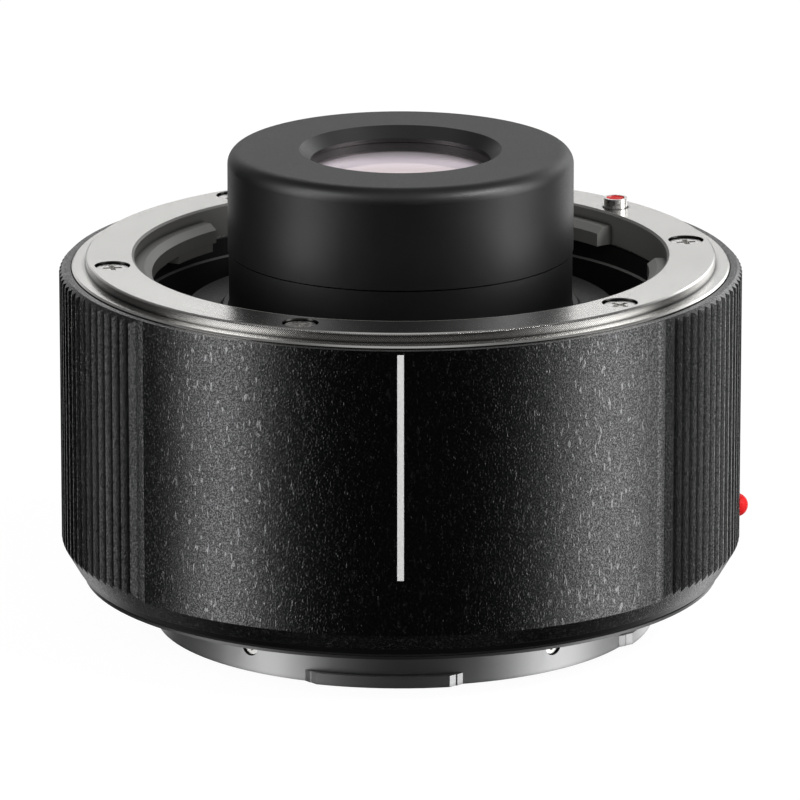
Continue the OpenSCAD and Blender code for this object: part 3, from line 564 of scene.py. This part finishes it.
def newPiece(name, bm, body, material):
    mesh = bpy.data.meshes.new(name)
    bm.to_mesh(mesh)
    bm.free()
    mesh.materials.append(material)
    piece = bpy.data.objects.new(name, mesh)
    scene.collection.objects.link(piece)
    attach(piece, body)
    return piece


# return coil of the lock, wound at one length to the lock spring's height; the real coil shortens
# as the pin goes down
returnCoil = {
    "turns": 6,
    "steps": 24,
    "sides": 10,
    "radius": 0.95 * mm,
    "wire": 0.35 * mm,
    "travel": 1.6 * mm,
}


def makeReturnCoil():
    look = returnCoil
    low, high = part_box("lock_spring")
    middle = ((low[0] + high[0]) / 2, (low[1] + high[1]) / 2)
    tall = high[2] - low[2]
    count = look["turns"] * look["steps"]
    sides = look["sides"]
    half = look["wire"] / 2
    rise = (tall - 2 * half) / count
    bm = bmesh.new()
    rings = []
    for i in range(count + 1):
        a = 2 * math.pi * i / look["steps"]
        ring = []
        for k in range(sides):
            b = 2 * math.pi * k / sides
            r = look["radius"] + half * math.cos(b)
            z = low[2] + half + i * rise + half * math.sin(b)
            spot = (middle[0] + r * math.cos(a), middle[1] + r * math.sin(a), z)
            ring.append(bm.verts.new(spot))
        rings.append(ring)
    for before, after in zip(rings, rings[1:]):
        for k in range(sides):
            nextSide = (k + 1) % sides
            bm.faces.new((before[k], after[k], after[nextSide], before[nextSide]))
    bm.faces.new(rings[0])
    bm.faces.new(rings[-1])
    bmesh.ops.recalc_face_normals(bm, faces=bm.faces)
    for face in bm.faces:
        face.smooth = len(face.verts) == 4
    piece = newPiece("return_coil", bm, "housing", finishes["spring_steel"])
    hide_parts("lock_spring")
    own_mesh(piece)


makeReturnCoil()
print("return coil wound")

# white index line painted on the smooth panel, following its curve
indexLine = {
    "radius": 35.2 * mm,
    "lift": 0.012 * mm,
    "film": 0.0096 * mm,
    "width": 0.67 * mm,
    "from": 14.1 * mm,
    "to": 37.8 * mm,
    "columns": 4,
}


def makeIndexLine():
    look = indexLine
    columns = look["columns"]
    r = look["radius"] + look["lift"]
    half = look["width"] / 2 / r
    bm = bmesh.new()
    rows = []
    for z in (look["from"], look["to"]):
        row = []
        for i in range(columns + 1):
            a = -math.pi / 2 - half + 2 * half * i / columns
            row.append(bm.verts.new((r * math.cos(a), r * math.sin(a), z)))
        rows.append(row)
    foot, head = rows
    for i in range(columns):
        bm.faces.new((foot[i], foot[i + 1], head[i + 1], head[i]))
    piece = newPiece("index_line", bm, "housing", makePaint("whiteInk", whitePaint))
    solid = piece.modifiers.new("paint film", "SOLIDIFY")
    solid.thickness = look["film"]


makeIndexLine()
print("index line painted")

# camera at the photograph's viewpoint
cameraLook = {
    "elevation": 15.397,
    "distance": 910.54 * mm,
    "aim": 23.43 * mm,
    "sensor": 36,
    "lens": 390.23,
    "shiftX": -0.00075,
    "clip": (0.01, 50),
}


def makeCamera():
    look = cameraLook
    data = bpy.data.cameras.new("camera")
    camera = bpy.data.objects.new("camera", data)
    scene.collection.objects.link(camera)
    tilt = math.radians(look["elevation"])
    reach = look["distance"]
    camera.location = (0, -reach * math.cos(tilt), look["aim"] + reach * math.sin(tilt))
    camera.rotation_euler = (math.pi / 2 - tilt, 0, 0)
    data.sensor_width = look["sensor"]
    data.lens = look["lens"]
    data.shift_x = look["shiftX"]
    data.clip_start, data.clip_end = look["clip"]
    scene.camera = camera


makeCamera()

# studio: a white floor, and a room whose brightness in mirrors goes by the direction; pairs are
# where a part of the room begins and ends, by the height or the side that a ray points to
studio = {
    "floorSize": 6.0,
    "floorDrop": 0.2 * mm,
    "floorWhite": (0.86, 0.86, 0.86),
    "floorGlow": 1.06,
    "shadowShare": 0.1,
    "ambient": 0.22,
    "backLevel": 0.70,
    "backSide": 0.35,
    "backEdge": (0.72, 0.95),
    "backFoot": (0.06, 0.30),
    "backTop": (0.45, 0.8),
    "zenith": 0.5,
    "wallTop": (0.25, 0.65),
    "wallFoot": (-0.75, -0.4),
    "frontLevel": 0.012,
    "floorShine": {
        "low": (-0.96, -0.91),
        "high": (-0.75, -0.55),
        "ahead": (0.2, 0.7),
        "level": 0.18,
    },
    "sky": {"foot": (0.10, 0.42), "turn": (-0.85, -0.45), "side": 0.16, "front": 0.45},
    "glint": {"height": 0.37, "spread": 0.035, "level": 1.7},
}
# azimuths in degrees, counted from the front to the right
wallLights = [
    {"centre": -64, "spread": 9.5, "level": 2.0},
    {"centre": 79, "spread": 13.5, "level": 2.25},
    {"centre": 147, "spread": 12, "level": 1.9},
    {"centre": -158, "spread": 9, "level": 0.8},
]
softBoxes = [
    {"name": "leftBox", "at": (-0.70, -0.28, 0.22), "size": (0.40, 0.42), "power": 1.6},
    {"name": "rightBox", "at": (0.73, -0.13, 0.22), "size": (0.40, 0.42), "power": 2.0},
    {"name": "topRight", "at": (0.62, -0.29, 0.58), "size": (0.4, 0.2), "power": 4.5},
    {"name": "topLeft", "at": (-0.60, -0.34, 0.58), "size": (0.4, 0.2), "power": 1.8},
    {
        "name": "fill",
        "at": (0.0, -0.9, 0.45),
        "size": (0.8, 0.6),
        "power": 2.3,
        "mirrored": False,
    },
]
boxAim = Vector((0, 0, 25 * mm))
bellBase = 2.718
tiny = 0.0001


def bell(away):
    # soft peak, 1 in its middle
    return bellBase ** (-0.5 * (away * away))


def makeFloor():
    mesh = bpy.data.meshes.new("floor")
    half = studio["floorSize"] / 2
    corners = [(-half, -half, 0), (half, -half, 0), (half, half, 0), (-half, half, 0)]
    mesh.from_pydata(corners, [], [(0, 1, 2, 3)])
    floor = bpy.data.objects.new("floor", mesh)
    floor.location.z = -studio["floorDrop"]
    floor.visible_glossy = False
    scene.collection.objects.link(floor)
    material, g = newFinish("floorWhite")
    camera = g.make("LightPath", out="Is Camera Ray")
    through = camera.sibling("Is Transmission Ray")
    lit = g.make("BsdfDiffuse", None, {"Color": rgba(studio["floorWhite"])})
    glow = g.make("Emission", None, {"Color": white, "Strength": studio["floorGlow"]})
    seen = g.calc("MINIMUM", camera + through, 1.0) * (1 - studio["shadowShare"])
    g.surface(g.make("MixShader", None, {0: seen, 1: lit, 2: glow}))
    mesh.materials.append(material)


def makeWorld():
    world = bpy.data.worlds.new("studio")
    scene.world = world
    g = Graph(world)
    camera = g.make("LightPath", out="Is Camera Ray")
    glossy = camera.sibling("Is Glossy Ray")
    through = camera.sibling("Is Transmission Ray")
    x, y, z = g.split(g.make("TexCoord", out="Generated"))
    flat = (x * x + y * y + tiny) ** 0.5
    azimuth = g.calc("ARCTAN2", x, -1 * y) * (180 / math.pi)

    behind = g.ramp(y / flat + x / flat * studio["backSide"], *studio["backEdge"])
    room = behind * g.ramp(z, *studio["backFoot"]) * studio["backLevel"]
    room = room * g.ramp(z, *studio["backTop"], 1.0, studio["zenith"])

    sky = studio["sky"]
    skyLevel = g.ramp(y / flat, *sky["turn"], sky["front"], sky["side"])
    room = room + (1 - behind) * g.ramp(z, *sky["foot"]) * skyLevel

    walls = 0.0
    for light in wallLights:
        walls = walls + light["level"] * bell((azimuth - light["centre"]) / light["spread"])
    walls = walls * g.ramp(z, *studio["wallTop"], 1.0, 0.0)
    room = room + walls * g.ramp(z, *studio["wallFoot"])

    shine = studio["floorShine"]
    ahead = g.ramp(g.calc("ABSOLUTE", y) / flat, *shine["ahead"])
    below = g.ramp(z, *shine["low"]) * g.ramp(z, *shine["high"], 1.0, 0.0)
    room = room + ahead * below * shine["level"]

    glint = studio["glint"]
    above = (z - glint["height"]) / glint["spread"]
    room = room + studio["frontLevel"] + behind * glint["level"] * bell(above)

    level = room * (glossy + through) + studio["ambient"] * (1 - glossy) * (1 - through)
    strength = camera + (1 - camera) * level
    glow = g.make("Background", None, {"Color": white, "Strength": strength})
    g.make("OutputWorld", None, {"Surface": glow})


def makeSoftBoxes():
    for look in softBoxes:
        data = bpy.data.lights.new(look["name"], "AREA")
        data.shape = "RECTANGLE"
        data.size, data.size_y = look["size"]
        data.energy = look["power"]
        lamp = bpy.data.objects.new(look["name"], data)
        scene.collection.objects.link(lamp)
        lamp.location = look["at"]
        lamp.visible_glossy = look.get("mirrored", True)
        aim = boxAim - lamp.location
        lamp.rotation_euler = aim.to_track_quat("-Z", "Y").to_euler()


makeFloor()
makeWorld()
makeSoftBoxes()
scene.view_settings.view_transform = "Standard"
print("studio set")
